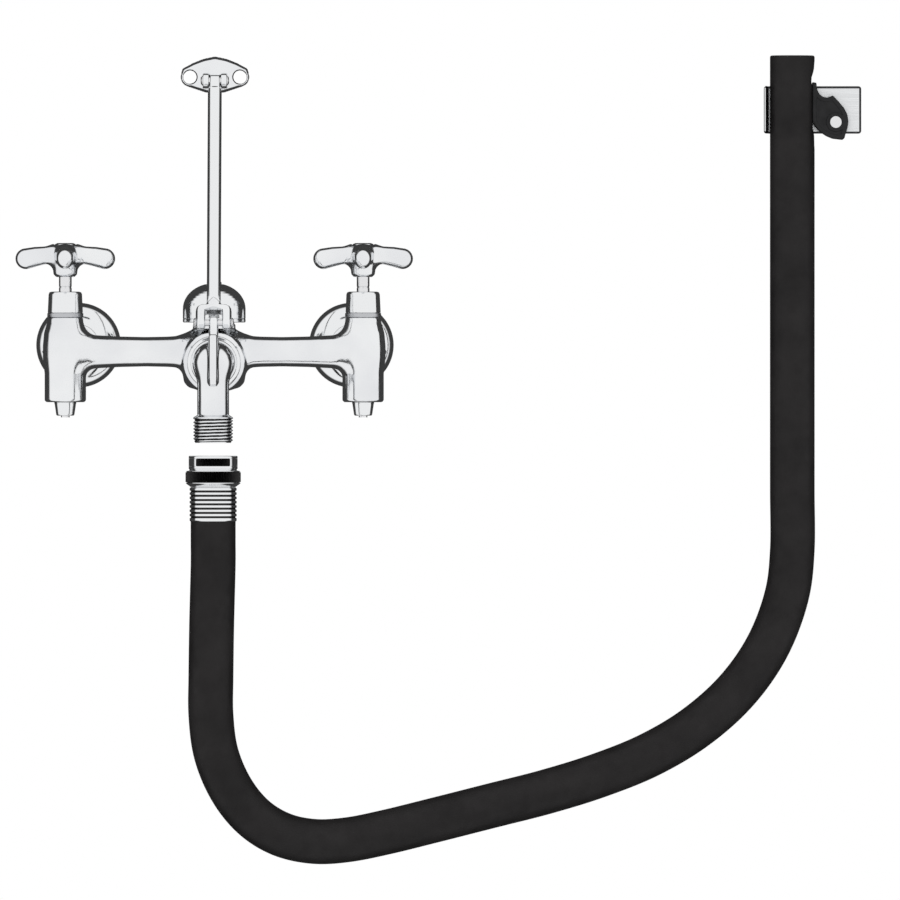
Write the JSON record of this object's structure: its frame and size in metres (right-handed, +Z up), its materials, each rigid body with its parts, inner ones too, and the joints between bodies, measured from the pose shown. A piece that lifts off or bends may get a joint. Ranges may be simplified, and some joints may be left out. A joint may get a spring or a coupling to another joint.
{
  "type": "service sink faucet",
  "caption": "Wall-mounted service sink faucet with cross handles, vacuum breaker, pail hook spout, wall brace, rubber hose and hose bracket.",
  "frame": {"origin": "midpoint between the two supply inlets on the wall plane", "axes": "+X to the right seen from the front, +Y into the wall, +Z up"},
  "size_m": [0.5787, 0.1738, 0.5514],
  "materials": {
    "chrome_plate": "polished chrome plate on brass, light wear on the edges",
    "raw_brass": "turned brass",
    "stainless": "satin stainless steel",
    "hose_rubber": "black smooth rubber with a faint cloth pattern under the cover",
    "grip_rubber": "black moulded rubber",
    "washer_rubber": "matte washer rubber",
    "packing_fibre": "graphite fibre packing",
    "hot_button": "plain red enamel",
    "cold_button": "plain blue enamel"
  },
  "bodies": {
    "faucet": {"faucet_body": "chrome_plate", "left_packing_nut": "chrome_plate", "right_packing_nut": "chrome_plate", "left_packing": "packing_fibre", "right_packing": "packing_fibre", "left_bonnet": "raw_brass", "right_bonnet": "raw_brass", "left_valve_seat": "raw_brass", "right_valve_seat": "raw_brass", "left_stop_bonnet": "chrome_plate", "right_stop_bonnet": "chrome_plate", "left_stop_packing": "washer_rubber", "right_stop_packing": "washer_rubber", "left_union_nut": "chrome_plate", "right_union_nut": "chrome_plate", "left_inlet_washer": "washer_rubber", "right_inlet_washer": "washer_rubber", "vacuum_cage": "raw_brass", "vacuum_hood": "chrome_plate", "hood_screw": "chrome_plate", "spout": "chrome_plate", "spout_nut": "chrome_plate", "spout_gasket": "washer_rubber", "clevis_pin": "stainless", "hose_bracket": "stainless", "cam_pin": "stainless"},
    "left_washer_carrier": {"left_seat_washer": "washer_rubber"},
    "left_valve_stem": {"left_stem": "stainless", "left_washer_screw": "raw_brass", "left_handle": "chrome_plate", "left_handle_screw": "stainless", "left_index_button": "hot_button"},
    "left_stop_carrier": {"left_stop_washer": "washer_rubber"},
    "left_stop_screw": {"left_stop_stem": "stainless"},
    "left_inlet": {"left_eccentric": "chrome_plate", "left_escutcheon": "chrome_plate"},
    "right_washer_carrier": {"right_seat_washer": "washer_rubber"},
    "right_valve_stem": {"right_stem": "stainless", "right_washer_screw": "raw_brass", "right_handle": "chrome_plate", "right_handle_screw": "stainless", "right_index_button": "cold_button"},
    "right_stop_carrier": {"right_stop_washer": "washer_rubber"},
    "right_stop_screw": {"right_stop_stem": "stainless"},
    "right_inlet": {"right_eccentric": "chrome_plate", "right_escutcheon": "chrome_plate"},
    "float": {"vacuum_float": "packing_fibre"},
    "brace": {"brace_clevis": "chrome_plate", "brace_rod": "chrome_plate"},
    "brace_end": {"wall_flange": "chrome_plate", "flange_pin": "stainless"},
    "hose_end": {"hose": "hose_rubber", "hose_shank": "raw_brass", "hose_ferrule": "chrome_plate", "hose_washer": "washer_rubber"},
    "coupling": {"hose_nut": "chrome_plate"},
    "grip": {"cam": "grip_rubber"}
  },
  "joints": [
    {"name": "left_stem_lift", "type": "slide", "parent": "faucet", "child": "left_washer_carrier", "axis": [0, 0, 1], "range_m": [0, 0.0032]},
    {"name": "left_handle_turn", "type": "hinge", "parent": "left_washer_carrier", "child": "left_valve_stem", "pos_m": [-0.1016, -0.066, 0], "axis": [0, 0, 1], "range_deg": [0, 360]},
    {"name": "left_stop_lift", "type": "slide", "parent": "faucet", "child": "left_stop_carrier", "axis": [0, 0, 1], "range_m": [0, 0.006]},
    {"name": "left_stop_turn", "type": "hinge", "parent": "left_stop_carrier", "child": "left_stop_screw", "pos_m": [-0.1016, -0.066, -0.04], "axis": [0, 0, 1], "range_deg": [0, 1080]},
    {"name": "left_inlet_swing", "type": "hinge", "parent": "faucet", "child": "left_inlet", "pos_m": [-0.1016, -0.03, -0.00475], "axis": [0, 1, 0], "range_deg": [-90, 90]},
    {"name": "right_stem_lift", "type": "slide", "parent": "faucet", "child": "right_washer_carrier", "axis": [0, 0, 1], "range_m": [0, 0.0032]},
    {"name": "right_handle_turn", "type": "hinge", "parent": "right_washer_carrier", "child": "right_valve_stem", "pos_m": [0.1016, -0.066, 0], "axis": [0, 0, 1], "range_deg": [0, 360]},
    {"name": "right_stop_lift", "type": "slide", "parent": "faucet", "child": "right_stop_carrier", "axis": [0, 0, 1], "range_m": [0, 0.006]},
    {"name": "right_stop_turn", "type": "hinge", "parent": "right_stop_carrier", "child": "right_stop_screw", "pos_m": [0.1016, -0.066, -0.04], "axis": [0, 0, 1], "range_deg": [0, 1080]},
    {"name": "right_inlet_swing", "type": "hinge", "parent": "faucet", "child": "right_inlet", "pos_m": [0.1016, -0.03, -0.00475], "axis": [0, 1, 0], "range_deg": [-90, 90]},
    {"name": "float_lift", "type": "slide", "parent": "faucet", "child": "float", "axis": [0, 0, 1], "range_m": [0, 0.004]},
    {"name": "brace_swing", "type": "hinge", "parent": "faucet", "child": "brace", "pos_m": [0, -0.116, 0.01475], "axis": [1, 0, 0], "range_deg": [-6, 45]},
    {"name": "flange_tilt", "type": "hinge", "parent": "brace", "child": "brace_end", "pos_m": [0, -0.012, 0.181], "axis": [1, 0, 0], "range_deg": [-35, 60]},
    {"name": "hose_lift", "type": "slide", "parent": "faucet", "child": "hose_end", "axis": [0, 0, 1], "range_m": [0, 0.0215]},
    {"name": "coupling_spin", "type": "hinge", "parent": "hose_end", "child": "coupling", "pos_m": [0, -0.155, -0.08575], "axis": [0, 0, 1], "continuous": true},
    {"name": "cam_release", "type": "hinge", "parent": "faucet", "child": "grip", "pos_m": [0.4246, -0.022, 0.1524], "axis": [0, 1, 0], "range_deg": [0, 60]}
  ],
  "couplings": [
    {"joint": "left_stem_lift", "follows": "left_handle_turn", "m_per_rad": 0.0005093},
    {"joint": "left_stop_turn", "follows": "left_stop_lift", "rad_per_m": 3141.6},
    {"joint": "right_stem_lift", "follows": "right_handle_turn", "m_per_rad": 0.0005093},
    {"joint": "right_stop_turn", "follows": "right_stop_lift", "rad_per_m": 3141.6}
  ]
}
